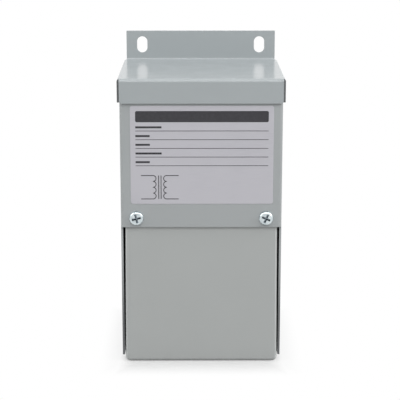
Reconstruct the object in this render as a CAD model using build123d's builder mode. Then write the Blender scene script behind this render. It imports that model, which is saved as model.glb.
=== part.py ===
"""A small wall-mounted dry-type transformer in a folded sheet-steel box.

Millimetres, +Z up.  The box stands on its wiring cover at z = 0, its front faces -Y and its
wall face lies at +Y.  The origin is under the middle of the box.
"""

import os

from build123d import *

os.makedirs("parts", exist_ok=True)

# Overall sizes
cap_width = 83.4
overall_depth = 76.2
cap_top_height = 147.2
flange_height = 15.4

# Sheet steel: one thickness, and one inside bend radius for every fold but the wall flange's
sheet = 1.1
bend_inside = 0.5
lap_gap = 0.1
overrun = 5.0

# Top cap: lips that hang over the shell, and the wall flange with its two slots
lip_height = 12.2
lip_corner_radius = 1.4
flange_bend_inside = 0.8
flange_end_notch = 0.4
corner_relief = 0.6
slot_side_distance = 8.5
slot_top_distance = 7.4
slot_width = 5.6
slot_length = 8.8

# Shell: how high its front panel ends, and how high its side walls stop above the floor
front_panel_foot = 71.9
wall_foot = 3.4

# Back panel: how far its side returns reach forward
back_return_depth = 12.0

# Wiring cover: its sides spread a little from the head down to the foot
cover_side_gap = 1.0
cover_foot_gap = 0.3
cover_corner_radius = 2.4
cover_return_depth = 10.0
cover_tongue_height = 12.6
cover_tongue_chamfer = 4.0
cover_return_overlap = 2.0

# Cover screws
screw_side_distance = 7.9
screw_foot_distance = 4.8
screw_head_radius = 3.6
screw_head_height = 2.0
screw_head_rim = 0.75
screw_shank_radius = 1.75
screw_length = 9.5
screw_hole_clearance = 0.2
collar_wall = 0.9
collar_length = 1.8
recess_wing_length = 4.5
recess_wing_width = 1.1
recess_depth = 1.5
recess_taper = 12
left_screw_turn = 14
right_screw_turn = -24

# Conduit knockouts: one disc inside one ring, each held in its hole by the sheared edge
knockout_disc_radius = 11.1
knockout_ring_radius = 13.9
knockout_height = 34.0
knockout_set_in = 0.25
shear_gap = 0.2

# Potted core
core_gap = 0.2
core_foot_gap = 1.4

# Places that follow from those sizes
bend_outside = bend_inside + sheet
bend_middle = bend_inside + sheet / 2
flange_bend_outside = flange_bend_inside + sheet
flange_bend_middle = flange_bend_inside + sheet / 2
wall_y = overall_depth / 2
screw_crown_y = -overall_depth / 2
shell_front_y = screw_crown_y + screw_head_height
lip_front_y = shell_front_y - lap_gap - sheet
lip_width = cap_width - 2 * sheet
shell_width = lip_width - 2 * lap_gap
shell_inside_width = shell_width - 2 * sheet
shell_top = cap_top_height - sheet - bend_inside
overall_height = cap_top_height + flange_height
slot_height = overall_height - slot_top_distance
flange_width = lip_width - 2 * flange_end_notch
slot_spacing = flange_width - 2 * slot_side_distance
cover_width = shell_inside_width - 2 * cover_side_gap
cover_foot_width = shell_inside_width - 2 * cover_foot_gap
cover_front_y = shell_front_y + sheet + lap_gap
cover_rear_y = wall_y - sheet - cover_side_gap
cover_depth = cover_rear_y - cover_front_y
tongue_top = front_panel_foot + cover_tongue_height
tongue_width = cover_width - 2 * bend_outside
screw_height = front_panel_foot + screw_foot_distance
screw_spacing = shell_width - 2 * screw_side_distance
screw_hole_radius = screw_shank_radius + screw_hole_clearance
back_width = shell_inside_width - 2 * lap_gap
back_top = cap_top_height - sheet - lap_gap
core_foot = tongue_top + core_foot_gap
core_top = cap_top_height - sheet - core_gap
core_width = back_width - 2 * sheet - 2 * core_gap
core_front_y = shell_front_y + sheet + core_gap
core_rear_y = wall_y - sheet - core_gap

# Top cap: one sheet, folded down in front and at both sides and folded up at the wall
with BuildPart() as top_cap:
    lip_y = lip_front_y + sheet / 2
    flange_y = wall_y - sheet / 2
    panel_z = cap_top_height - sheet / 2
    lip_foot = cap_top_height - lip_height
    with BuildSketch(Plane.YZ):
        with BuildLine():
            FilletPolyline(
                (lip_y, lip_foot),
                (lip_y, panel_z),
                (flange_y, panel_z),
                (flange_y, overall_height),
                radius=[bend_middle, flange_bend_middle],
            )
        trace(line_width=sheet)
    extrude(amount=lip_width / 2, both=True)
    lip_x = cap_width / 2 - sheet / 2
    side_start = lip_front_y + bend_outside + corner_relief
    side_end = wall_y - flange_bend_outside - corner_relief
    with BuildSketch(Plane.XZ.offset(-side_end)):
        with BuildLine():
            FilletPolyline(
                (-lip_x, lip_foot),
                (-lip_x, panel_z),
                (lip_x, panel_z),
                (lip_x, lip_foot),
                radius=bend_middle,
            )
        trace(line_width=sheet)
    extrude(amount=side_end - side_start)
    lip_ends = top_cap.faces().filter_by(Axis.Z).group_by(Axis.Z)[0]
    front_lip_end = lip_ends.sort_by(Axis.Y)[:1]
    side_lip_ends = lip_ends.sort_by(Axis.Y)[1:]
    fillet(front_lip_end.edges().filter_by(Axis.Y), radius=lip_corner_radius)
    fillet(side_lip_ends.edges().filter_by(Axis.X), radius=lip_corner_radius)
    with BuildSketch(Plane.XZ.offset(-wall_y - overrun)):
        with Locations((0, slot_height)):
            with GridLocations(slot_spacing, 0, 2, 1):
                SlotOverall(slot_length, slot_width, rotation=90)
    extrude(amount=sheet + overrun + overrun, mode=Mode.SUBTRACT)
    with BuildSketch(Plane.XZ.offset(-wall_y - overrun)):
        with GridLocations(flange_width + overrun, 0, 2, 1):
            Rectangle(overrun, 2 * overall_height)
    extrude(amount=overrun + wall_y - side_end, mode=Mode.SUBTRACT)
top_cap.part.label = "top_cap"
export_step(top_cap.part, "parts/top_cap.step")

# Shell: front panel and both side walls in one wrap, its lower front cut away for the wiring cover
with BuildPart() as front_shell:
    wall_x = shell_width / 2 - sheet / 2
    panel_y = shell_front_y + sheet / 2
    with BuildSketch(Plane.XY.offset(wall_foot)):
        with BuildLine():
            FilletPolyline(
                (-wall_x, wall_y),
                (-wall_x, panel_y),
                (wall_x, panel_y),
                (wall_x, wall_y),
                radius=bend_middle,
            )
        trace(line_width=sheet)
    extrude(amount=shell_top - wall_foot)
    with BuildSketch(Plane.XZ.offset(-shell_front_y - bend_outside)):
        with Locations((0, front_panel_foot)):
            Rectangle(
                cap_width,
                front_panel_foot,
                align=(Align.CENTER, Align.MAX),
            )
    extrude(amount=bend_outside + overrun, mode=Mode.SUBTRACT)
    with BuildSketch(Plane.XZ.offset(-shell_front_y - sheet - overrun)):
        with Locations((0, screw_height)):
            with GridLocations(screw_spacing, 0, 2, 1):
                Circle(screw_hole_radius)
    extrude(amount=sheet + overrun + overrun, mode=Mode.SUBTRACT)
    with BuildSketch(Plane.YZ):
        with Locations((0, knockout_height)):
            Circle(knockout_ring_radius)
    extrude(amount=cap_width / 2, both=True, mode=Mode.SUBTRACT)
front_shell.part.label = "front_shell"
export_step(front_shell.part, "parts/front_shell.step")

# Back panel: a flat sheet between the side walls, its two returns lapped inside them
with BuildPart() as back_panel:
    return_x = back_width / 2 - sheet / 2
    with BuildSketch(Plane.XY.offset(wall_foot)):
        with BuildLine():
            FilletPolyline(
                (-return_x, wall_y - back_return_depth),
                (-return_x, wall_y - sheet / 2),
                (return_x, wall_y - sheet / 2),
                (return_x, wall_y - back_return_depth),
                radius=bend_middle,
            )
        trace(line_width=sheet)
    extrude(amount=back_top - wall_foot)
    # the returns stop above the cover's low sides
    with BuildSketch(Plane.XY):
        with Locations((0, wall_y - bend_outside)):
            Rectangle(back_width, back_return_depth, align=(Align.CENTER, Align.MAX))
    extrude(amount=cover_return_depth + cover_side_gap, mode=Mode.SUBTRACT)
    with BuildSketch(Plane.XZ.offset(-wall_y - overrun)):
        with Locations((0, knockout_height)):
            Circle(knockout_ring_radius)
    extrude(amount=sheet + overrun + overrun, mode=Mode.SUBTRACT)
back_panel.part.label = "back_panel"
export_step(back_panel.part, "parts/back_panel.step")

# Wiring cover: a pan with front, floor and low sides, and a tongue that slides up behind the shell
with BuildPart() as wiring_cover:
    with BuildSketch(Plane.XZ.offset(-cover_rear_y)):
        with BuildLine():
            Polyline(
                (-cover_foot_width / 2, 0),
                (cover_foot_width / 2, 0),
                (cover_width / 2, tongue_top),
                (-cover_width / 2, tongue_top),
                close=True,
            )
        make_face()
    extrude(amount=cover_depth)
    fillet(
        wiring_cover.faces().sort_by(Axis.Z)[0].edges().filter_by(Axis.Y),
        radius=cover_corner_radius,
    )
    top_edges = wiring_cover.faces().sort_by(Axis.Z)[-1].edges()
    end_faces = wiring_cover.faces().filter_by(Axis.Y)
    fillet(end_faces.edges() - top_edges, radius=bend_outside)
    offset(amount=-sheet, openings=wiring_cover.faces().sort_by(Axis.Z)[-1])
    # open the pan above its low sides and behind its front returns
    with BuildSketch(Plane.YZ) as pan_opening:
        with Locations((cover_front_y + cover_return_depth, cover_return_depth)):
            Rectangle(cover_depth, tongue_top, align=(Align.MIN, Align.MIN))
        first_corner = pan_opening.vertices().sort_by(lambda v: v.X + v.Y)[0]
        fillet(first_corner, radius=cover_return_depth / 2)
    extrude(amount=cover_width, both=True, mode=Mode.SUBTRACT)
    # above the returns only the flat tongue goes on
    with BuildSketch(Plane.XY.offset(front_panel_foot + cover_return_overlap)):
        with Locations((0, cover_front_y)):
            Rectangle(
                cover_width + overrun,
                cover_depth,
                align=(Align.CENTER, Align.MIN),
            )
            Rectangle(
                tongue_width,
                sheet,
                align=(Align.CENTER, Align.MIN),
                mode=Mode.SUBTRACT,
            )
    extrude(amount=cover_tongue_height, mode=Mode.SUBTRACT)
    tongue_end = wiring_cover.faces().filter_by(Axis.Z).sort_by(Axis.Z)[-1]
    chamfer(tongue_end.edges().filter_by(Axis.Y), length=cover_tongue_chamfer)
    with BuildSketch(Plane.XZ.offset(-cover_front_y - sheet)):
        with Locations((0, screw_height)):
            with GridLocations(screw_spacing, 0, 2, 1):
                Circle(screw_hole_radius + collar_wall)
    extrude(amount=-collar_length)
    with BuildSketch(Plane.XZ.offset(-cover_front_y + overrun)):
        with Locations((0, screw_height)):
            with GridLocations(screw_spacing, 0, 2, 1):
                Circle(screw_hole_radius)
    extrude(amount=-(overrun + sheet + collar_length + overrun), mode=Mode.SUBTRACT)
wiring_cover.part.label = "wiring_cover"
export_step(wiring_cover.part, "parts/wiring_cover.step")

# Potted core: the cast block that holds the windings, filling the box above the wiring space
with BuildPart() as potted_core:
    with Locations((0, (core_front_y + core_rear_y) / 2, core_foot)):
        Box(
            core_width,
            core_rear_y - core_front_y,
            core_top - core_foot,
            align=(Align.CENTER, Align.CENTER, Align.MIN),
        )
    fillet(potted_core.edges().filter_by(Axis.Z), radius=bend_inside)
potted_core.part.label = "potted_core"
export_step(potted_core.part, "parts/potted_core.step")

# Cover screws: a pan head on a plain shank, with a tapered cross recess
with BuildPart(
    Plane((-screw_spacing / 2, shell_front_y, screw_height), x_dir=(1, 0, 0), z_dir=(0, -1, 0))
) as left_cover_screw:
    Cylinder(
        screw_head_radius,
        screw_head_height,
        align=(Align.CENTER, Align.CENTER, Align.MIN),
    )
    left_crown = left_cover_screw.faces().sort_by(Axis.Y)[0]
    fillet(left_crown.edges(), radius=screw_head_height - screw_head_rim)
    Cylinder(
        screw_shank_radius,
        screw_length,
        align=(Align.CENTER, Align.CENTER, Align.MAX),
    )
    with BuildSketch(Plane.XZ.offset(-screw_crown_y)):
        with Locations((-screw_spacing / 2, screw_height)):
            Rectangle(recess_wing_length, recess_wing_width, rotation=left_screw_turn)
            Rectangle(recess_wing_width, recess_wing_length, rotation=left_screw_turn)
    extrude(amount=-recess_depth, taper=recess_taper, mode=Mode.SUBTRACT)
left_cover_screw.part.label = "left_cover_screw"
export_step(left_cover_screw.part, "parts/left_cover_screw.step")

with BuildPart(
    Plane((screw_spacing / 2, shell_front_y, screw_height), x_dir=(1, 0, 0), z_dir=(0, -1, 0))
) as right_cover_screw:
    Cylinder(
        screw_head_radius,
        screw_head_height,
        align=(Align.CENTER, Align.CENTER, Align.MIN),
    )
    right_crown = right_cover_screw.faces().sort_by(Axis.Y)[0]
    fillet(right_crown.edges(), radius=screw_head_height - screw_head_rim)
    Cylinder(
        screw_shank_radius,
        screw_length,
        align=(Align.CENTER, Align.CENTER, Align.MAX),
    )
    with BuildSketch(Plane.XZ.offset(-screw_crown_y)):
        with Locations((screw_spacing / 2, screw_height)):
            Rectangle(recess_wing_length, recess_wing_width, rotation=right_screw_turn)
            Rectangle(recess_wing_width, recess_wing_length, rotation=right_screw_turn)
    extrude(amount=-recess_depth, taper=recess_taper, mode=Mode.SUBTRACT)
right_cover_screw.part.label = "right_cover_screw"
export_step(right_cover_screw.part, "parts/right_cover_screw.step")

# Knockouts in the left wall, the right wall and the back
with BuildPart() as left_knockout_ring:
    with BuildSketch(Plane.YZ.offset(-shell_width / 2)):
        with Locations((0, knockout_height)):
            Circle(knockout_ring_radius - shear_gap)
            Circle(knockout_disc_radius, mode=Mode.SUBTRACT)
    extrude(amount=sheet)
left_knockout_ring.part.label = "left_knockout_ring"
export_step(left_knockout_ring.part, "parts/left_knockout_ring.step")

with BuildPart() as left_knockout_disc:
    with BuildSketch(Plane.YZ.offset(-shell_width / 2 + knockout_set_in)):
        with Locations((0, knockout_height)):
            Circle(knockout_disc_radius - shear_gap)
    extrude(amount=sheet)
left_knockout_disc.part.label = "left_knockout_disc"
export_step(left_knockout_disc.part, "parts/left_knockout_disc.step")

with BuildPart() as right_knockout_ring:
    with BuildSketch(Plane.YZ.offset(shell_width / 2)):
        with Locations((0, knockout_height)):
            Circle(knockout_ring_radius - shear_gap)
            Circle(knockout_disc_radius, mode=Mode.SUBTRACT)
    extrude(amount=-sheet)
right_knockout_ring.part.label = "right_knockout_ring"
export_step(right_knockout_ring.part, "parts/right_knockout_ring.step")

with BuildPart() as right_knockout_disc:
    with BuildSketch(Plane.YZ.offset(shell_width / 2 - knockout_set_in)):
        with Locations((0, knockout_height)):
            Circle(knockout_disc_radius - shear_gap)
    extrude(amount=-sheet)
right_knockout_disc.part.label = "right_knockout_disc"
export_step(right_knockout_disc.part, "parts/right_knockout_disc.step")

with BuildPart() as back_knockout_ring:
    with BuildSketch(Plane.XZ.offset(-wall_y)):
        with Locations((0, knockout_height)):
            Circle(knockout_ring_radius - shear_gap)
            Circle(knockout_disc_radius, mode=Mode.SUBTRACT)
    extrude(amount=sheet)
back_knockout_ring.part.label = "back_knockout_ring"
export_step(back_knockout_ring.part, "parts/back_knockout_ring.step")

with BuildPart() as back_knockout_disc:
    with BuildSketch(Plane.XZ.offset(-wall_y + knockout_set_in)):
        with Locations((0, knockout_height)):
            Circle(knockout_disc_radius - shear_gap)
    extrude(amount=sheet)
back_knockout_disc.part.label = "back_knockout_disc"
export_step(back_knockout_disc.part, "parts/back_knockout_disc.step")
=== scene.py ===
"""Dresses a small wall-mounted dry-type transformer for its picture.

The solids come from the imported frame.  This script paints them, lays the rating plate on the
front panel, and sets the floor, the light and the camera.  Metres, +Z up, front to -Y.
"""

import logging
import math
from dataclasses import dataclass
from enum import Enum
from typing import Optional, Sequence, Union

import bpy
import numpy as np
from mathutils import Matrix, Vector


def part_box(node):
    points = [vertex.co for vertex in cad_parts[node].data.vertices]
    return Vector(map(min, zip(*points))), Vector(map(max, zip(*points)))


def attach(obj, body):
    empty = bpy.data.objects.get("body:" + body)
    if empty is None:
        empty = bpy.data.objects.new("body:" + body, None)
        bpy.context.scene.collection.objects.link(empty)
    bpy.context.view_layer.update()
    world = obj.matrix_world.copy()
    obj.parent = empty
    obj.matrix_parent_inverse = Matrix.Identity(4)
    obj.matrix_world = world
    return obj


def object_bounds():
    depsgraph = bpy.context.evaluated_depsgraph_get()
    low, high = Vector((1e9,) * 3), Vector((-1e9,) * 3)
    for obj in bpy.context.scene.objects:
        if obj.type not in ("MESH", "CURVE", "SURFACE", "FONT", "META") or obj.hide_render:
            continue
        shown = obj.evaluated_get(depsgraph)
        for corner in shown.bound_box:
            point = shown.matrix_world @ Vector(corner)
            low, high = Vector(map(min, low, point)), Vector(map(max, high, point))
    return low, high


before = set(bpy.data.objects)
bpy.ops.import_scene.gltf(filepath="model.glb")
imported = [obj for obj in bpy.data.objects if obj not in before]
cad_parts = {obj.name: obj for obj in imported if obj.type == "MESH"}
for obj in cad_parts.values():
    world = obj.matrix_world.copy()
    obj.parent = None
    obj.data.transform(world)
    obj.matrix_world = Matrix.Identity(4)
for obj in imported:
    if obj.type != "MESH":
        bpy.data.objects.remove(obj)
CAD_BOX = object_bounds()

LOG = logging.getLogger("transformer")
MM = 0.001

Colour = tuple[float, float, float]
Triple = tuple[float, float, float]
Span = tuple[float, float]
Material = bpy.types.Material
Node = bpy.types.Node
NodeTree = bpy.types.NodeTree
Socket = bpy.types.NodeSocket
Feed = Union[Socket, float, Triple]

WHITE: Colour = (1.0, 1.0, 1.0)
WHOLE: Span = (0.0, 1.0)
WHOLE_FALLING: Span = (1.0, 0.0)
BOTH_SIDES: Span = (-1.0, 1.0)

# The screen's colour curve: straight in the dark, and a power above that
SCREEN_WHITE = 255.0
DARK_END = 0.04045
DARK_SLOPE = 12.92
CURVE_SHIFT = 0.055
CURVE_POWER = 2.4


class MathWay(Enum):
    """The sums on single values, by the names of Blender's Math node."""

    ADD = "ADD"
    SUBTRACT = "SUBTRACT"
    MULTIPLY = "MULTIPLY"
    MAXIMUM = "MAXIMUM"
    ABSOLUTE = "ABSOLUTE"


class VectorWay(Enum):
    """The sums on vectors, by the names of Blender's Vector Math node."""

    SUBTRACT = "SUBTRACT"
    MULTIPLY = "MULTIPLY"
    DIVIDE = "DIVIDE"
    ABSOLUTE = "ABSOLUTE"
    DOT_PRODUCT = "DOT_PRODUCT"


def linear(red: int, green: int, blue: int) -> Colour:
    """Turns a colour of the screen, 0 to 255, into the linear values that a shader takes.

    Args:
        red: The red level.
        green: The green level.
        blue: The blue level.

    Returns:
        The three linear values.
    """
    levels = np.array((red, green, blue)) / SCREEN_WHITE
    dark = levels / DARK_SLOPE
    bright = ((levels + CURVE_SHIFT) / (1.0 + CURVE_SHIFT)) ** CURVE_POWER
    return tuple(float(level) for level in np.where(levels <= DARK_END, dark, bright))


def lifted(colour: Colour, share: float) -> Colour:
    """Returns a colour made lighter by a share of itself, or deeper where the share is below 0."""
    return tuple(min(1.0, level * (1.0 + share)) for level in colour)


# Node trees


class Board:
    """Places nodes in one node tree and links them."""

    def __init__(self, tree: NodeTree) -> None:
        """Takes the tree that the nodes go into."""
        self.tree = tree

    def add(self, kind: str, **settings: object) -> Node:
        """Adds a node.

        Args:
            kind: Blender's name of the node's type.
            settings: The node's own properties.

        Returns:
            The new node.
        """
        node = self.tree.nodes.new(kind)
        for name, value in settings.items():
            setattr(node, name, value)
        return node

    def feed(self, target: Socket, source: Feed) -> None:
        """Links a socket to an input, or sets the input's own value.

        Args:
            target: The input.
            source: A socket to link, or a plain value to set.
        """
        if isinstance(source, Socket):
            self.tree.links.new(source, target)
        elif isinstance(source, tuple) and target.type == "RGBA":
            target.default_value = (*source, 1.0)
        else:
            target.default_value = source

    def math(self, way: MathWay, *values: Feed) -> Socket:
        """Adds a Math node.

        Args:
            way: The sum to do.
            values: What it takes, one value or two.

        Returns:
            The result.
        """
        node = self.add("ShaderNodeMath", operation=way.value)
        for target, value in zip(node.inputs, values):
            self.feed(target, value)
        return node.outputs["Value"]

    def vector(self, way: VectorWay, *values: Feed) -> Socket:
        """Adds a Vector Math node.

        Args:
            way: The sum to do.
            values: What it takes, one vector or two.

        Returns:
            The result: a single value for a dot product, and otherwise a vector.
        """
        node = self.add("ShaderNodeVectorMath", operation=way.value)
        for target, value in zip(node.inputs, values):
            self.feed(target, value)
        return node.outputs["Value" if way is VectorWay.DOT_PRODUCT else "Vector"]

    def parts(self, vector: Socket) -> list[Socket]:
        """Splits a vector.

        Args:
            vector: The vector.

        Returns:
            Its x, y and z.
        """
        node = self.add("ShaderNodeSeparateXYZ")
        self.feed(node.inputs["Vector"], vector)
        return list(node.outputs)

    def ramp(self, value: Feed, span: tuple[Feed, Feed], to_span: Span = WHOLE) -> Socket:
        """Carries a value smoothly from one span to another.

        Args:
            value: The value to carry over.
            span: Where the first span starts and ends.
            to_span: What its start and its end become.

        Returns:
            The carried value.
        """
        node = self.add("ShaderNodeMapRange", interpolation_type="SMOOTHSTEP")
        self.feed(node.inputs["Value"], value)
        for name, end in zip(("From Min", "From Max", "To Min", "To Max"), (*span, *to_span)):
            self.feed(node.inputs[name], end)
        return node.outputs["Result"]

    def noise(self, place: Feed, cells: Feed, detail: float) -> Socket:
        """Adds a noise whose cells have a real size.

        Args:
            place: The coordinates to read.
            cells: How many cells go into a metre.
            detail: How many finer layers it has.

        Returns:
            The noise, from 0 to 1.
        """
        node = self.add("ShaderNodeTexNoise")
        self.feed(node.inputs["Vector"], place)
        self.feed(node.inputs["Scale"], cells)
        self.feed(node.inputs["Detail"], detail)
        return node.outputs["Fac"]

    def blend(self, share: Feed, first: Feed, second: Feed) -> Socket:
        """Mixes two colours.

        Args:
            share: How much of the second colour shows.
            first: The first colour.
            second: The second colour.

        Returns:
            The mixed colour.
        """
        node = self.add("ShaderNodeMix", data_type="RGBA")
        self.feed(node.inputs["Factor"], share)
        colours = [socket for socket in node.inputs if socket.type == "RGBA"]
        self.feed(colours[0], first)
        self.feed(colours[1], second)
        return next(socket for socket in node.outputs if socket.type == "RGBA")

    def use(self, group: NodeTree, **inputs: Feed) -> Node:
        """Places a node group.

        Args:
            group: The group.
            inputs: What goes into each input, with _ for a space in its name.

        Returns:
            The group's node.
        """
        node = self.add("ShaderNodeGroup", node_tree=group)
        for name, source in inputs.items():
            self.feed(node.inputs[name.replace("_", " ")], source)
        return node


def cleared(owner: Union[Material, bpy.types.World]) -> Board:
    """Switches on the nodes of a material or a world and clears them away.

    Args:
        owner: The material or the world.

    Returns:
        The board of its empty tree.
    """
    owner.use_nodes = True
    owner.node_tree.nodes.clear()
    return Board(owner.node_tree)


@dataclass
class Effects:
    """The effects that the finishes share, each a node group built once."""

    peel_detail: float = 1.0
    fine_peel_ratio: float = 3.1
    fine_peel_share: float = 0.35
    mottle_detail: float = 4.0
    mottle_span: Span = (0.15, 0.85)
    gloss_ratio: float = 2.3
    gloss_detail: float = 5.0
    streak_detail: float = 3.0
    streak_peak: float = 0.8
    patch_cells: float = 45.0
    patch_detail: float = 2.0
    patch_span: Span = (0.3, 0.8)
    edge_samples: int = 6
    edge_span: Span = (0.8, 0.99)
    bend_scale: float = 2.0

    def __post_init__(self) -> None:
        """Builds every group."""
        self.paint_skin = self._paint_skin()
        self.zone = self._zone()
        self.scuffs = self._scuffs()
        self.edges = self._edges()
        self.bends = self._bends()

    @staticmethod
    def _start(
        name: str,
        inputs: Sequence[tuple[str, str]],
        outputs: Sequence[tuple[str, str]],
    ) -> tuple[NodeTree, Board, Node, Node]:
        """Makes an empty group with its sockets.

        Args:
            name: The group's name.
            inputs: Name and kind of each input.
            outputs: Name and kind of each output.

        Returns:
            The tree, its board, its input node and its output node.
        """
        tree = bpy.data.node_groups.new(name, "ShaderNodeTree")
        for way, sockets in (("INPUT", inputs), ("OUTPUT", outputs)):
            for socket, kind in sockets:
                tree.interface.new_socket(socket, in_out=way, socket_type=f"NodeSocket{kind}")
        board = Board(tree)
        return tree, board, board.add("NodeGroupInput"), board.add("NodeGroupOutput")

    def _paint_skin(self) -> NodeTree:
        """Builds the skin of sprayed paint: a fine peel, slow mottling and an uneven gloss.

        Returns:
            The group.
        """
        tree, board, given, made = self._start(
            "paint_skin",
            [("Place", "Vector"), ("Peel Cells", "Float"), ("Mottle Cells", "Float")],
            [("Peel", "Float"), ("Mottle", "Float"), ("Gloss", "Float")],
        )
        place = given.outputs["Place"]
        peel_cells = given.outputs["Peel Cells"]
        mottle_cells = given.outputs["Mottle Cells"]
        coarse = board.noise(place, peel_cells, self.peel_detail)
        fine_cells = board.math(MathWay.MULTIPLY, peel_cells, self.fine_peel_ratio)
        fine = board.noise(place, fine_cells, self.peel_detail)
        fine = board.math(MathWay.MULTIPLY, fine, self.fine_peel_share)
        board.feed(made.inputs["Peel"], board.math(MathWay.ADD, coarse, fine))
        mottle = board.noise(place, mottle_cells, self.mottle_detail)
        board.feed(made.inputs["Mottle"], board.ramp(mottle, self.mottle_span))
        gloss_cells = board.math(MathWay.MULTIPLY, mottle_cells, self.gloss_ratio)
        board.feed(made.inputs["Gloss"], board.noise(place, gloss_cells, self.gloss_detail))
        return tree

    def _zone(self) -> NodeTree:
        """Builds a mask that is 1 inside a box and fades to 0 outside it, by its own length an axis.

        Returns:
            The group.
        """
        tree, board, given, made = self._start(
            "zone",
            [("Place", "Vector"), ("Middle", "Vector"), ("Half Size", "Vector"), ("Fade", "Vector")],
            [("Mask", "Float")],
        )
        away = board.vector(VectorWay.SUBTRACT, given.outputs["Place"], given.outputs["Middle"])
        away = board.vector(VectorWay.ABSOLUTE, away)
        past = board.vector(VectorWay.SUBTRACT, away, given.outputs["Half Size"])
        share = board.vector(VectorWay.DIVIDE, past, given.outputs["Fade"])
        along_x, along_y, along_z = board.parts(share)
        farthest = board.math(MathWay.MAXIMUM, along_x, along_y)
        farthest = board.math(MathWay.MAXIMUM, farthest, along_z)
        board.feed(made.inputs["Mask"], board.ramp(farthest, WHOLE, WHOLE_FALLING))
        return tree

    def _scuffs(self) -> NodeTree:
        """Builds fine handling marks: a noise drawn out along one way and cut to its peaks.

        Returns:
            The group.
        """
        tree, board, given, made = self._start(
            "scuffs",
            [("Place", "Vector"), ("Stretch", "Vector"), ("Cells", "Float"), ("Cut", "Float")],
            [("Marks", "Float")],
        )
        drawn = board.vector(VectorWay.MULTIPLY, given.outputs["Place"], given.outputs["Stretch"])
        streaks = board.noise(drawn, given.outputs["Cells"], self.streak_detail)
        peaks = board.ramp(streaks, (given.outputs["Cut"], self.streak_peak))
        patches = board.noise(given.outputs["Place"], self.patch_cells, self.patch_detail)
        patches = board.ramp(patches, self.patch_span)
        board.feed(made.inputs["Marks"], board.math(MathWay.MULTIPLY, peaks, patches))
        return tree

    def _edges(self) -> NodeTree:
        """Builds the paint's round over a steel edge: a rounded normal, and a mask of the edge that
        carries a painted highlight.

        Returns:
            The group.
        """
        tree, board, given, made = self._start(
            "edges",
            [("Radius", "Float")],
            [("Normal", "Vector"), ("Edge", "Float")],
        )
        round_over = board.add("ShaderNodeBevel", samples=self.edge_samples)
        board.feed(round_over.inputs["Radius"], given.outputs["Radius"])
        rounded = round_over.outputs["Normal"]
        flat = board.add("ShaderNodeNewGeometry").outputs["Normal"]
        turn = board.vector(VectorWay.DOT_PRODUCT, rounded, flat)
        board.feed(made.inputs["Normal"], rounded)
        board.feed(made.inputs["Edge"], board.ramp(turn, self.edge_span, WHOLE_FALLING))
        return tree

    def _bends(self) -> NodeTree:
        """Builds a mask of upright bends, where the face looks half to the front and half aside, which
        carries a painted highlight.

        Returns:
            The group.
        """
        tree, board, given, made = self._start("bends", [("Sharpness", "Float")], [("Bend", "Float")])
        face = board.add("ShaderNodeNewGeometry").outputs["Normal"]
        aside, ahead, _ = board.parts(face)
        both = board.math(MathWay.ABSOLUTE, board.math(MathWay.MULTIPLY, aside, ahead))
        share = board.math(MathWay.MULTIPLY, both, self.bend_scale)
        board.feed(made.inputs["Bend"], board.ramp(share, (given.outputs["Sharpness"], 1.0)))
        return tree


# Finishes


@dataclass(frozen=True)
class Zone:
    """A box on the object where a finish changes, and how far it fades along each axis."""

    middle: Triple
    half_size: Triple
    fade: Triple = (0.15 * MM, 0.15 * MM, 0.15 * MM)

    def mask(self, board: Board, effects: Effects, place: Socket) -> Socket:
        """Places the zone's mask.

        Args:
            board: Where the node goes.
            effects: The shared node groups.
            place: The coordinates.

        Returns:
            The mask, 1 inside the zone.
        """
        node = board.use(
            effects.zone,
            Place=place,
            Middle=self.middle,
            Half_Size=self.half_size,
            Fade=self.fade,
        )
        return node.outputs["Mask"]


@dataclass(frozen=True)
class Scuffs:
    """How fine marks run: their stretch along each axis, their cells, and where they are cut off."""

    stretch: Triple
    cells: float
    cut: float


@dataclass(frozen=True)
class Skin:
    """The fine surface of a finish: its peel, its slow mottling and the spread of its roughness."""

    peel_cells: float
    peel_depth: float
    mottle_cells: float
    roughness: Span
    gloss_span: Span = (0.25, 0.75)


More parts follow.
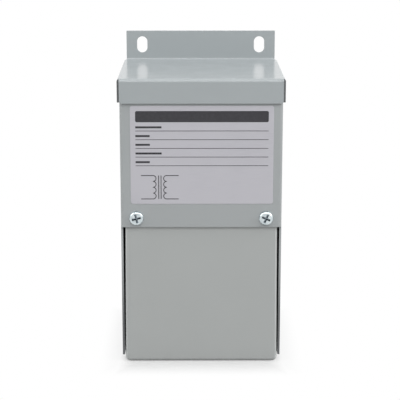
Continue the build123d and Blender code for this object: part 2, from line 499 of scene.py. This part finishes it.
class Coat:
    """A material in the making: its nodes, its shader and its skin."""

    def __init__(self, name: str, effects: Effects, skin: Skin) -> None:
        """Starts the material on Object coordinates.

        Args:
            name: The material's name.
            effects: The shared node groups.
            skin: The finish's fine surface.
        """
        self.effects = effects
        self.skin = skin
        self.material = bpy.data.materials.new(name)
        self.board = cleared(self.material)
        self.shader = self.board.add("ShaderNodeBsdfPrincipled")
        self.place = self.board.add("ShaderNodeTexCoord").outputs["Object"]
        self.waves = self.board.use(
            effects.paint_skin,
            Place=self.place,
            Peel_Cells=skin.peel_cells,
            Mottle_Cells=skin.mottle_cells,
        )
        output = self.board.add("ShaderNodeOutputMaterial")
        self.board.feed(output.inputs["Surface"], self.shader.outputs["BSDF"])

    def mottled(self, first: Colour, second: Colour) -> Socket:
        """Returns two colours mixed by the skin's mottling."""
        return self.board.blend(self.waves.outputs["Mottle"], first, second)

    def patched(self, colour: Socket, zones: Sequence[Zone], other: Colour) -> Socket:
        """Lays another colour over some zones.

        Args:
            colour: The colour so far.
            zones: Where the other colour lies.
            other: The other colour.

        Returns:
            The colour with its patches.
        """
        for zone in zones:
            mask = zone.mask(self.board, self.effects, self.place)
            colour = self.board.blend(mask, colour, other)
        return colour

    def marks(self, scuffs: Scuffs) -> Socket:
        """Places fine marks.

        Args:
            scuffs: How they run.

        Returns:
            Their mask.
        """
        node = self.board.use(
            self.effects.scuffs,
            Place=self.place,
            Stretch=scuffs.stretch,
            Cells=scuffs.cells,
            Cut=scuffs.cut,
        )
        return node.outputs["Marks"]

    def gloss(self) -> Socket:
        """Returns the skin's uneven roughness."""
        return self.board.ramp(self.waves.outputs["Gloss"], self.skin.gloss_span, self.skin.roughness)

    def relief(self, normal: Optional[Socket] = None) -> Socket:
        """Bends a normal by the skin's peel.

        Args:
            normal: The normal to bend, where it isn't the surface's own.

        Returns:
            The bent normal.
        """
        node = self.board.add("ShaderNodeBump")
        self.board.feed(node.inputs["Height"], self.waves.outputs["Peel"])
        self.board.feed(node.inputs["Distance"], self.skin.peel_depth)
        if normal is not None:
            self.board.feed(node.inputs["Normal"], normal)
        return node.outputs["Normal"]

    def close(self, colour: Socket, roughness: Socket, normal: Socket) -> Material:
        """Feeds the shader.

        Args:
            colour: The finish's colour.
            roughness: Its roughness.
            normal: Its normal.

        Returns:
            The finished material.
        """
        self.board.feed(self.shader.inputs["Base Color"], colour)
        self.board.feed(self.shader.inputs["Roughness"], roughness)
        self.board.feed(self.shader.inputs["Normal"], normal)
        return self.material


@dataclass(frozen=True)
class GreyPaint:
    """Semi-gloss grey enamel on sheet steel: edges and bends lightened as a painted highlight, some
    edges darkened, and inner faces near black as painted shade.
    """

    name: str
    colour: Colour
    # the colour of the darkened edges, which is painted shade on the cap's recessed lip ends
    dark_edge_and_thin_ink_colour: Colour = linear(98, 100, 102)
    # near black, for the painted shade inside the box and in the gaps
    inside_shade_colour: Colour = linear(26, 27, 28)
    roughness: float = 0.235
    gloss_spread: float = 0.05
    rubbed: float = 0.01
    scuffs: Scuffs = Scuffs((0.25, 0.25, 1.0), cells=1500.0, cut=0.6)
    mottle: float = 0.012
    peel_cells: float = 800.0
    mottle_cells: float = 38.0
    peel_depth: float = 0.008 * MM
    edge_radius: float = 0.3 * MM
    # how much lighter the edges are painted, as a painted highlight
    edge_highlight_lift: float = 0.16
    bend_highlight_lift: float = 0.0
    bend_sharpness: float = 0.6
    ior: float = 1.5
    darkened_edges: tuple[Zone, ...] = ()
    painted_shade_zones: tuple[Zone, ...] = ()

    def build(self, effects: Effects) -> Material:
        """Builds the material.

        Args:
            effects: The shared node groups.

        Returns:
            The material.
        """
        low = self.roughness - self.gloss_spread / 2
        spread = (low, low + self.gloss_spread)
        skin = Skin(self.peel_cells, self.peel_depth, self.mottle_cells, spread)
        coat = Coat(self.name, effects, skin)
        board = coat.board
        edges = board.use(effects.edges, Radius=self.edge_radius)
        colour = coat.mottled(lifted(self.colour, -self.mottle), lifted(self.colour, self.mottle))
        # painted highlight: the edges are lifted to a lighter colour
        colour = board.blend(edges.outputs["Edge"], colour, lifted(self.colour, self.edge_highlight_lift))
        # painted highlight: upright bends are lifted to a lighter colour
        if self.bend_highlight_lift:
            bends = board.use(effects.bends, Sharpness=self.bend_sharpness)
            colour = board.blend(bends.outputs["Bend"], colour, lifted(self.colour, self.bend_highlight_lift))
        # darkened edges: painted shade on the cap's recessed lip ends, and the shell's wall edges
        # painted darker towards the bottom
        colour = coat.patched(colour, self.darkened_edges, self.dark_edge_and_thin_ink_colour)
        # painted shade: inner faces and the cover's hidden sides go near black so the gaps read dark
        colour = coat.patched(colour, self.painted_shade_zones, self.inside_shade_colour)
        rubbed = board.math(MathWay.MULTIPLY, coat.marks(self.scuffs), self.rubbed)
        roughness = board.math(MathWay.ADD, coat.gloss(), rubbed)
        coat.shader.inputs["IOR"].default_value = self.ior
        return coat.close(colour, roughness, coat.relief(edges.outputs["Normal"]))


@dataclass(frozen=True)
class ZincPlate:
    """Bright zinc plating with a cold tint, a fine unevenness and painted shade in its recesses."""

    name: str = "bright_zinc"
    colour: Colour = linear(224, 232, 234)
    dull_colour: Colour = linear(176, 187, 191)
    recess_shade_colour: Colour = linear(122, 131, 138)
    skin: Skin = Skin(2200.0, 0.012 * MM, mottle_cells=420.0, roughness=(0.16, 0.33))
    recesses: tuple[Zone, ...] = ()

    def build(self, effects: Effects) -> Material:
        """Builds the material.

        Args:
            effects: The shared node groups.

        Returns:
            The material.
        """
        coat = Coat(self.name, effects, self.skin)
        colour = coat.mottled(self.dull_colour, self.colour)
        # painted shade: the deeper part of each cross recess is darkened
        colour = coat.patched(colour, self.recesses, self.recess_shade_colour)
        coat.shader.inputs["Metallic"].default_value = 1.0
        return coat.close(colour, coat.gloss(), coat.relief())


@dataclass(frozen=True)
class Potting:
    """Cast resin with a mineral filler: near black, dull and gritty."""

    name: str = "cast_potting"
    colour: Colour = linear(40, 41, 43)
    grit_colour: Colour = linear(66, 66, 66)
    skin: Skin = Skin(1400.0, 0.05 * MM, 600.0, roughness=(0.6, 0.85), gloss_span=(0.2, 0.8))

    def build(self, effects: Effects) -> Material:
        """Builds the material.

        Args:
            effects: The shared node groups.

        Returns:
            The material.
        """
        coat = Coat(self.name, effects, self.skin)
        colour = coat.mottled(self.colour, self.grit_colour)
        return coat.close(colour, coat.gloss(), coat.relief())


@dataclass(frozen=True)
class PlateFilm:
    """Printed foil of the rating plate: pale lilac grey with a faint brushed grain."""

    name: str = "plate_foil"
    colour: Colour = linear(187, 186, 192)
    grain_colour: Colour = linear(178, 177, 184)
    grain: Scuffs = Scuffs((0.04, 1.0, 1.0), cells=3200.0, cut=0.3)
    skin: Skin = Skin(260.0, 0.01 * MM, mottle_cells=60.0, roughness=(0.36, 0.48))

    def build(self, effects: Effects) -> Material:
        """Builds the material.

        Args:
            effects: The shared node groups.

        Returns:
            The material.
        """
        coat = Coat(self.name, effects, self.skin)
        colour = coat.board.blend(coat.marks(self.grain), self.colour, self.grain_colour)
        return coat.close(colour, coat.gloss(), coat.relief())


@dataclass(frozen=True)
class PrintInk:
    """Black screen ink, a little thin in places."""

    name: str = "plate_ink"
    colour: Colour = linear(36, 35, 40)
    dark_edge_and_thin_ink_colour: Colour = linear(46, 45, 50)
    skin: Skin = Skin(2400.0, 0.004 * MM, 700.0, roughness=(0.4, 0.6), gloss_span=(0.2, 0.8))

    def build(self, effects: Effects) -> Material:
        """Builds the material.

        Args:
            effects: The shared node groups.

        Returns:
            The material.
        """
        coat = Coat(self.name, effects, self.skin)
        colour = coat.mottled(self.colour, self.dark_edge_and_thin_ink_colour)
        return coat.close(colour, coat.gloss(), coat.relief())


def put_on(node: str, material: Material) -> None:
    """Gives a CAD node its finish.

    Args:
        node: The node's name.
        material: Its finish.
    """
    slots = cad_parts[node].data.materials
    slots.clear()
    slots.append(material)
    LOG.info("%s: %s", node, material.name)


# Surfaces


def add_object(name: str, data: bpy.types.ID) -> bpy.types.Object:
    """Makes an object at the origin and puts it in the scene.

    Args:
        name: The object's name.
        data: Its mesh, lamp or lens.

    Returns:
        The object.
    """
    thing = bpy.data.objects.new(name, data)
    bpy.context.scene.collection.objects.link(thing)
    return thing


@dataclass
class Surface:
    """Points and faces worked out as whole arrays."""

    points: np.ndarray
    faces: list[tuple[int, ...]]

    def as_object(self, name: str, material: Material) -> bpy.types.Object:
        """Makes the surface an object at the origin.

        Args:
            name: The object's name.
            material: Its finish.

        Returns:
            The object.
        """
        mesh = bpy.data.meshes.new(name)
        mesh.from_pydata(self.points.tolist(), [], self.faces)
        mesh.validate()
        mesh.materials.append(material)
        return add_object(name, mesh)

    def piece(self, name: str, material: Material) -> None:
        """Makes the surface a piece that rides on the root body.

        Args:
            name: The piece's name.
            material: Its finish.
        """
        thing = self.as_object(name, material)
        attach(thing, "root")
        LOG.info("%s: %d points", name, len(self.points))


def join(surfaces: Sequence[Surface]) -> Surface:
    """Makes one surface of several, each one's points after those of the one before.

    Args:
        surfaces: The surfaces.

    Returns:
        The single surface.
    """
    ends = np.cumsum([len(surface.points) for surface in surfaces]).tolist()
    faces = [
        tuple(corner + start for corner in face)
        for surface, start in zip(surfaces, [0, *ends])
        for face in surface.faces
    ]
    return Surface(np.concatenate([surface.points for surface in surfaces]), faces)


def grid_faces(rows: int, columns: int) -> list[tuple[int, ...]]:
    """Lists the four corners of each face of a grid whose last column joins its first.

    Args:
        rows: How many points the grid has one way.
        columns: How many it has round the other way.

    Returns:
        Four point numbers a face.
    """
    row, column = np.meshgrid(np.arange(rows - 1), np.arange(columns), indexing="ij")
    beside = (column + 1) % columns
    here = row * columns
    corners = [here + column, here + beside, here + columns + beside, here + columns + column]
    return [tuple(face) for face in np.stack(corners, axis=-1).reshape(-1, 4).tolist()]


def rounded_outline(width: float, height: float, radius: float, steps: int) -> np.ndarray:
    """Works out a rectangle with round corners.

    Each corner is a quarter circle about a middle that lies one radius in from both sides, and
    the straight sides run between the quarters.

    Args:
        width: The size along x.
        height: The size along z.
        radius: The corners' radius.
        steps: Points in each quarter circle.

    Returns:
        The points as x and z, in the turning way of the angle.
    """
    quarter = np.repeat(np.arange(4), steps)
    angle = quarter * math.pi / 2 + np.tile(np.linspace(0.0, math.pi / 2, steps), 4)
    middle_angle = quarter * math.pi / 2 + math.pi / 4
    side = np.sign(np.cos(middle_angle)) * (width / 2 - radius)
    rise = np.sign(np.sin(middle_angle)) * (height / 2 - radius)
    return np.stack([side + radius * np.cos(angle), rise + radius * np.sin(angle)], axis=1)


def tablet(
    middle: Triple,
    width: float,
    height: float,
    radius: float,
    thickness: float,
    rim: float,
    steps: int = 8,
) -> Surface:
    """Works out a thin tablet that lies on a face that looks to -Y.

    The first parameter goes round the rounded outline.  The second goes from the back up the
    side, over a rim that leans in by its own width, and on to the front's middle.

    Args:
        middle: The middle of the face that it lies on.
        width: Its size along x.
        height: Its size along z.
        radius: Its corners' radius.
        thickness: How far it stands out.
        rim: How wide its leaning rim is.
        steps: Points in each corner.

    Returns:
        The closed surface.
    """
    insets = np.array([0.0, 0.0, rim])
    lifts = np.array([0.0, thickness - rim / 2, thickness])
    outlines = [
        rounded_outline(width - 2 * inset, height - 2 * inset, radius - inset, steps) for inset in insets
    ]
    flat = np.stack(outlines)
    count = flat.shape[1]
    out = np.broadcast_to(-lifts[:, None], flat.shape[:2])
    points = np.stack([flat[..., 0], out, flat[..., 1]], axis=-1).reshape(-1, 3)
    poles = np.array([(0.0, -thickness, 0.0), (0.0, 0.0, 0.0)])
    front, back = len(points), len(points) + 1
    around = np.arange(count)
    beside = (around + 1) % count
    last = (len(insets) - 1) * count
    faces = grid_faces(len(insets), count)
    faces += list(zip((last + around).tolist(), (last + beside).tolist(), [front] * count))
    faces += list(zip(beside.tolist(), around.tolist(), [back] * count))
    return Surface(np.concatenate([points, poles]) + np.array(middle), faces)


def stroke(path: np.ndarray, face_y: float, width: float, thickness: float) -> Surface:
    """Carries a flat ink profile along a path on a face that looks to -Y.

    At each point of the path the four corners of the profile lie half the width to either side,
    along the path's own sideways direction, on the face and one thickness in front of it.  Both
    ends are closed.

    Args:
        path: The points as x and z.
        face_y: Where the face lies.
        width: The stroke's width.
        thickness: The ink's thickness.

    Returns:
        The closed surface.
    """
    along = np.gradient(path, axis=0)
    along /= np.linalg.norm(along, axis=1, keepdims=True)
    aside = np.stack([-along[:, 1], along[:, 0]], axis=1)
    sides = np.array([-0.5, 0.5, 0.5, -0.5]) * width
    lifts = face_y - np.array([0.0, 0.0, 1.0, 1.0]) * thickness
    corners = len(sides)
    flat = path[:, None, :] + aside[:, None, :] * sides[None, :, None]
    deep = np.broadcast_to(lifts[None, :], flat.shape[:2])
    points = np.stack([flat[..., 0], deep, flat[..., 1]], axis=-1).reshape(-1, 3)
    first_end = tuple(reversed(range(corners)))
    last_end = tuple(range(len(points) - corners, len(points)))
    return Surface(points, [*grid_faces(len(path), corners), first_end, last_end])


# Sub-assemblies


@dataclass
class SheetBox:
    """The folded box: cap, shell, back, wiring cover and knockouts, each with its paint."""

    effects: Effects
    cap_colour: Colour = linear(161, 167, 169)
    shell_colour: Colour = linear(161, 165, 166)
    cover_colour: Colour = linear(168, 171, 170)
    cap_roughness: float = 0.2
    # how much lighter the cover's upright bends are painted, as a painted highlight
    cover_bend_highlight_lift: float = 0.45
    sheet: float = 1.1 * MM
    lip_end_setback: float = 2.2 * MM
    lip_end_depth: float = 0.4 * MM
    wall_edge_setback: float = 1.6 * MM
    wall_edge_depth: float = 0.3 * MM
    wall_edge_top: float = 14.0 * MM
    wall_edge_fade: Triple = (0.15 * MM, 0.15 * MM, 45.0 * MM)
    cover_bend: float = 1.6 * MM
    cover_shade_foot: float = 6.0 * MM
    inside_shade_fade: Triple = (0.15 * MM, 1.0 * MM, 2.0 * MM)

    def _lip_ends(self) -> tuple[Zone, ...]:
        """Finds the front ends of the cap's two side lips, set back behind the front lip, where shade is
        painted in.

        Returns:
            A zone a side.
        """
        low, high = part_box("top_cap")
        start = low.y + self.lip_end_setback
        middle_x = high.x - self.sheet / 2
        half = (self.sheet / 2, self.lip_end_depth, (high.z - low.z) / 2)
        height = (low.z + high.z) / 2
        return tuple(Zone((side * middle_x, start, height), half) for side in BOTH_SIDES)

    def _wall_edges(self) -> tuple[Zone, ...]:
        """Finds the lower ends of the side walls' front edges, which are painted darker towards the
        bottom.

        Returns:
            A zone a side.
        """
        low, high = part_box("front_shell")
        half = (self.sheet, self.wall_edge_depth, self.wall_edge_top)
        front = low.y + self.wall_edge_setback
        return tuple(
            Zone((side * high.x, front, low.z), half, self.wall_edge_fade) for side in BOTH_SIDES
        )

    def _shell_inside(self) -> Zone:
        """Finds the room between the shell's walls, front panel and back panel, whose inner faces are
        painted near black as painted shade.

        Returns:
            The zone.
        """
        low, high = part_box("front_shell")
        half = (high - low) / 2
        inside = (half.x - self.sheet, half.y - self.sheet, half.z + self.sheet)
        return Zone(tuple((low + high) / 2), inside)

    def _cover_sides(self) -> tuple[Zone, ...]:
        """Finds the cover's outer sides where the shell's walls hide them, painted near black as painted
        shade in the gaps.

        Returns:
            A zone a side.
        """
        low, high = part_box("wiring_cover")
        start = low.y + self.cover_bend
        half = (self.cover_bend, (high.y - start) / 2, (high.z - self.cover_shade_foot) / 2)
        middle_y = (start + high.y) / 2
        middle_z = (high.z + self.cover_shade_foot) / 2
        return tuple(
            Zone((side * high.x, middle_y, middle_z), half, self.inside_shade_fade) for side in BOTH_SIDES
        )

    def dress(self) -> None:
        """Paints the sheet-metal nodes."""
        cap = GreyPaint(
            "cap_paint",
            self.cap_colour,
            roughness=self.cap_roughness,
            darkened_edges=self._lip_ends(),
        ).build(self.effects)
        shell = GreyPaint(
            "shell_paint",
            self.shell_colour,
            darkened_edges=self._wall_edges(),
            painted_shade_zones=(self._shell_inside(),),
        ).build(self.effects)
        cover = GreyPaint(
            "cover_paint",
            self.cover_colour,
            bend_highlight_lift=self.cover_bend_highlight_lift,
            painted_shade_zones=self._cover_sides(),
        ).build(self.effects)
        plain = GreyPaint("wall_paint", self.shell_colour).build(self.effects)
        painted = {"top_cap": cap, "front_shell": shell, "back_panel": plain, "wiring_cover": cover}
        for side in ("left", "right", "back"):
            painted[f"{side}_knockout_ring"] = plain
            painted[f"{side}_knockout_disc"] = plain
        for node, material in painted.items():
            put_on(node, material)


@dataclass
class CoverScrews:
    """The two zinc screws that hold the wiring cover."""

    effects: Effects
    recess_reach: float = 2.3 * MM
    recess_start: float = 0.75 * MM
    recess_end: float = 1.7 * MM

    def _recess(self, node: str) -> Zone:
        """Finds the deeper part of a screw's cross recess.

        Args:
            node: The screw's node.

        Returns:
            The zone.
        """
        low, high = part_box(node)
        depth = (self.recess_start + self.recess_end) / 2
        middle = ((low.x + high.x) / 2, low.y + depth, (low.z + high.z) / 2)
        half = (self.recess_reach, (self.recess_end - self.recess_start) / 2, self.recess_reach)
        return Zone(middle, half)

    def dress(self) -> None:
        """Plates both screws, with painted shade down in their recesses."""
        nodes = [f"{side}_cover_screw" for side in ("left", "right")]
        zinc = ZincPlate(recesses=tuple(self._recess(node) for node in nodes)).build(self.effects)
        for node in nodes:
            put_on(node, zinc)


@dataclass
class Core:
    """The potted block inside the box."""

    effects: Effects

    def dress(self) -> None:
        """Gives the block its resin."""
        put_on("potted_core", Potting().build(self.effects))


@dataclass
class RatingPlate:
    """The foil plate on the front panel, with ruled fields and a winding sign."""

    effects: Effects
    left_gap: float = 5.2 * MM
    right_gap: float = 4.5 * MM
    lip_gap: float = 1.2 * MM
    height: float = 49.8 * MM
    corner_radius: float = 1.3 * MM
    thickness: float = 0.16 * MM
    rim: float = 0.08 * MM
    ink_thickness: float = 0.03 * MM
    ink_rim_share: float = 0.25
    margin: float = 2.6 * MM
    rule_width: float = 0.28 * MM
    header_height: float = 5.6 * MM
    header_radius: float = 0.8 * MM
    row_pitch: float = 4.4 * MM
    row_count: int = 5
    caption_length: float = 13.0 * MM
    caption_width: float = 1.0 * MM
    caption_level_share: float = 0.42
    caption_mean_share: float = 0.7
    caption_swing_share: float = 0.3
    caption_turn: float = 2.1
    sign_setback: float = 12.0 * MM
    sign_width: float = 0.4 * MM
    coil_radius: float = 1.5 * MM
    coil_turns: int = 4
    coil_steps: int = 24
    coil_offset: float = 3.4 * MM
    iron_offset: float = 0.6 * MM
    lead_length: float = 6.0 * MM

    def __post_init__(self) -> None:
        """Works out the plate's place from the shell's front and the cap's lip."""
        shell_low, shell_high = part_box("front_shell")
        lip_low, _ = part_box("top_cap")
        self.left = shell_low.x + self.left_gap
        self.right = shell_high.x - self.right_gap
        self.top = lip_low.z - self.lip_gap
        self.foot = self.top - self.height
        self.middle_x = (self.left + self.right) / 2
        self.front_y = shell_low.y
        self.face_y = self.front_y - self.thickness

    def _line(self, start: Span, end: Span, width: float) -> Surface:
        """Draws a straight stroke between two points given as x and z."""
        return stroke(np.array([start, end]), self.face_y, width, self.ink_thickness)

    def _header(self) -> Surface:
        """Draws the solid bar at the top.

        Returns:
            The bar.
        """
        width = self.right - self.left - 2 * self.margin
        middle_z = self.top - self.margin - self.header_height / 2
        return tablet(
            (self.middle_x, self.face_y, middle_z),
            width,
            self.header_height,
            self.header_radius,
            self.ink_thickness,
            self.ink_thickness * self.ink_rim_share,
        )

    def _rows(self) -> list[Surface]:
        """Draws the ruled rows, each with a short caption stroke at its left end.

        The captions' lengths follow a wave from row to row.

        Returns:
            The strokes.
        """
        first = self.top - self.margin - self.header_height
        left, right = self.left + self.margin, self.right - self.margin
        strokes = []
        for row in range(self.row_count):
            rule_z = first - (row + 1) * self.row_pitch
            strokes.append(self._line((left, rule_z), (right, rule_z), self.rule_width))
            wave = self.caption_swing_share * math.cos(self.caption_turn * row)
            end = left + self.caption_length * (self.caption_mean_share + wave)
            level = rule_z + self.row_pitch * self.caption_level_share
            strokes.append(self._line((left, level), (end, level), self.caption_width))
        return strokes

    def _coil(self, middle_x: float, middle_z: float, side: float) -> Surface:
        """Draws one winding as a chain of half circles.

        The path goes down a chain of half circles of one radius, all bulging to one side.

        Args:
            middle_x: Where the chain stands.
            middle_z: The middle of its height.
            side: 1 where it bulges to +x, -1 to -x.

        Returns:
            The stroke.
        """
        turn = np.linspace(0.0, self.coil_turns * math.pi, self.coil_steps * self.coil_turns + 1)
        count = np.minimum(np.floor(turn / math.pi), self.coil_turns - 1)
        within = turn - count * math.pi
        start = middle_z + self.coil_turns * self.coil_radius
        height = start - self.coil_radius * (2 * count + 1 - np.cos(within))
        across = middle_x + side * self.coil_radius * np.sin(within)
        path = np.stack([across, height], axis=1)
        return stroke(path, self.face_y, self.sign_width, self.ink_thickness)

    def _sign(self) -> list[Surface]:
        """Draws the winding sign: two coils with their leads, and two upright lines between them.

        Returns:
            The strokes.
        """
        half = self.coil_turns * self.coil_radius
        middle_x = self.left + self.margin + self.sign_setback
        middle_z = self.foot + self.margin + half
        ends = [middle_z + end * half for end in BOTH_SIDES]
        strokes = [
            self._coil(middle_x + side * self.coil_offset, middle_z, -side) for side in BOTH_SIDES
        ]
        for side in BOTH_SIDES:
            iron_x = middle_x + side * self.iron_offset
            strokes.append(self._line((iron_x, ends[0]), (iron_x, ends[1]), self.sign_width))
            near = middle_x + side * self.coil_offset
            far = near + side * self.lead_length
            strokes += [self._line((near, level), (far, level), self.sign_width) for level in ends]
        return strokes

    def build(self) -> None:
        """Lays the plate and its print on the front panel."""
        plate = tablet(
            (self.middle_x, self.front_y, (self.foot + self.top) / 2),
            self.right - self.left,
            self.height,
            self.corner_radius,
            self.thickness,
            self.rim,
        )
        plate.piece("rating_plate", PlateFilm().build(self.effects))
        ink = join([self._header(), *self._rows(), *self._sign()])
        ink.piece("plate_print", PrintInk().build(self.effects))


# Studio


def aim_at(thing: bpy.types.Object, place: Vector, aim: Vector) -> None:
    """Stands a lamp or the camera at a place, turned to what it looks at.

    Args:
        thing: The lamp or the camera.
        place: Where it stands.
        aim: What it looks at.
    """
    thing.location = place
    thing.rotation_euler = (aim - place).to_track_quat("-Z", "Y").to_euler()


@dataclass(frozen=True)
class SoftBox:
    """A square or oblong soft light that looks at the object."""

    name: str
    place: Triple
    size: tuple[float, float]
    watts: float
    aim: Triple = (0.0, 0.0, 0.08)

    def build(self) -> None:
        """Hangs the light."""
        lamp = bpy.data.lights.new(self.name, "AREA")
        lamp.shape = "RECTANGLE"
        lamp.size, lamp.size_y = self.size
        lamp.energy = self.watts
        aim_at(add_object(self.name, lamp), Vector(self.place), Vector(self.aim))


@dataclass
class Studio:
    """Pale floor, white surroundings, soft boxes and the camera."""

    effects: Effects
    surround_level: float = 0.4
    floor_radius: float = 6.0
    floor_steps: int = 96
    floor_drop: float = 0.1 * MM
    floor_level: float = 0.45
    floor_seen_level: float = 0.7
    shadow_fade: Triple = (12.0 * MM, 19.0 * MM, 1.0)
    shadow_ends: float = 8.0 * MM
    side_shadow: float = 0.22
    camera_distance: float = 0.703
    camera_rise_degrees: float = 13.64
    camera_turn_degrees: float = -0.2
    camera_aim: Triple = (-0.5 * MM, 0.0, 77.22 * MM)
    camera_lens_mm: float = 119.45
    lights: tuple[SoftBox, ...] = (
        SoftBox("front_box", (0.1, -1.45, 1.45), (1.2, 0.9), watts=15.4),
        SoftBox("top_box", (-0.1, 0.1, 1.5), (0.9, 0.25), watts=1.2),
        SoftBox("right_box", (1.1, -0.3, 0.9), (1.1, 1.1), watts=11.5),
        SoftBox("left_box", (-1.1, -0.3, 0.9), (1.1, 1.1), watts=7.5),
        SoftBox("rear_right_box", (1.0, 1.3, 0.7), (1.1, 1.1), watts=5.0),
        SoftBox("rear_left_box", (-1.0, 1.3, 0.7), (1.1, 1.1), watts=5.0),
    )

    @staticmethod
    def _seen(board: Board) -> Socket:
        """Tells what the camera sees from what only lights the object.

        Args:
            board: Where the nodes go.

        Returns:
            1 for what is seen directly, in gloss or through glass, and 0 for light.
        """
        ray = board.add("ShaderNodeLightPath")
        seen = board.math(MathWay.MAXIMUM, ray.outputs["Is Camera Ray"], ray.outputs["Is Glossy Ray"])
        return board.math(MathWay.MAXIMUM, seen, ray.outputs["Is Transmission Ray"])

    def _surroundings(self) -> None:
        """Sets white surroundings that light the object at a lower level."""
        world = bpy.data.worlds.new("surroundings")
        board = cleared(world)
        sky = board.add("ShaderNodeBackground")
        board.feed(sky.inputs["Color"], WHITE)
        strength = board.ramp(self._seen(board), WHOLE, (self.surround_level, 1.0))
        board.feed(sky.inputs["Strength"], strength)
        output = board.add("ShaderNodeOutputWorld")
        board.feed(output.inputs["Surface"], sky.outputs["Background"])
        bpy.context.scene.world = world

    def _floor(self) -> None:
        """Lays the floor, a flat disc whose edge is one turn of a circle."""
        turn = np.linspace(0.0, 2 * math.pi, self.floor_steps, endpoint=False)
        ring = np.stack([np.cos(turn), np.sin(turn)], axis=1) * self.floor_radius
        points = np.column_stack([ring, np.full(len(ring), -self.floor_drop)])
        floor = Surface(points, [tuple(range(len(points)))]).as_object("floor", self._floor_finish())

    def _floor_finish(self) -> Material:
        """Makes pale paper that the camera sees as white and that keeps the object's shadow.

        Returns:
            The material.
        """
        material = bpy.data.materials.new("pale_paper")
        board = cleared(material)
        seen = self._seen(board)
        paper = board.add("ShaderNodeBsdfDiffuse")
        level = board.ramp(seen, WHOLE, (self.floor_level, self.floor_seen_level))
        board.feed(paper.inputs["Color"], level)
        white = board.add("ShaderNodeEmission")
        board.feed(white.inputs["Color"], WHITE)
        place = board.add("ShaderNodeTexCoord").outputs["Object"]
        low, high = (Vector(corner) for corner in CAD_BOX)
        wide, deep, tall = (high - low) / 2
        front = Zone((0.0, low.y, 0.0), (wide - self.shadow_ends, 0.0, tall), self.shadow_fade)
        around = Zone((0.0, 0.0, 0.0), (wide, deep, tall), self.shadow_fade)
        before = front.mask(board, self.effects, place)
        beside = around.mask(board, self.effects, place)
        beside = board.math(MathWay.MULTIPLY, beside, self.side_shadow)
        near = board.math(MathWay.MAXIMUM, before, beside)
        far = board.math(MathWay.SUBTRACT, 1.0, near)
        cut = board.add("ShaderNodeMixShader")
        board.feed(cut.inputs[0], board.math(MathWay.MULTIPLY, far, seen))
        board.feed(cut.inputs[1], paper.outputs["BSDF"])
        board.feed(cut.inputs[2], white.outputs["Emission"])
        output = board.add("ShaderNodeOutputMaterial")
        board.feed(output.inputs["Surface"], cut.outputs["Shader"])
        return material

    def _camera(self) -> None:
        """Sets the camera in front of the object, a little above it."""
        lens = bpy.data.cameras.new("camera")
        lens.lens = self.camera_lens_mm
        camera = add_object("camera", lens)
        rise = math.radians(self.camera_rise_degrees)
        turn = math.radians(self.camera_turn_degrees)
        level = math.cos(rise)
        away = Vector((level * math.sin(turn), -level * math.cos(turn), math.sin(rise)))
        aim = Vector(self.camera_aim)
        aim_at(camera, aim + away * self.camera_distance, aim)
        bpy.context.scene.camera = camera

    def build(self) -> None:
        """Sets up the whole studio."""
        self._surroundings()
        self._floor()
        for light in self.lights:
            light.build()
        self._camera()
        bpy.context.scene.view_settings.view_transform = "Standard"
        LOG.info("studio: floor, %d lights and camera", len(self.lights))


def main() -> None:
    """Builds and dresses the sub-assemblies in order."""
    logging.basicConfig(level=logging.INFO, format="%(name)s %(message)s")
    effects = Effects()
    Studio(effects).build()
    SheetBox(effects).dress()
    CoverScrews(effects).dress()
    Core(effects).dress()
    RatingPlate(effects).build()


if __name__ == "__main__":
    main()
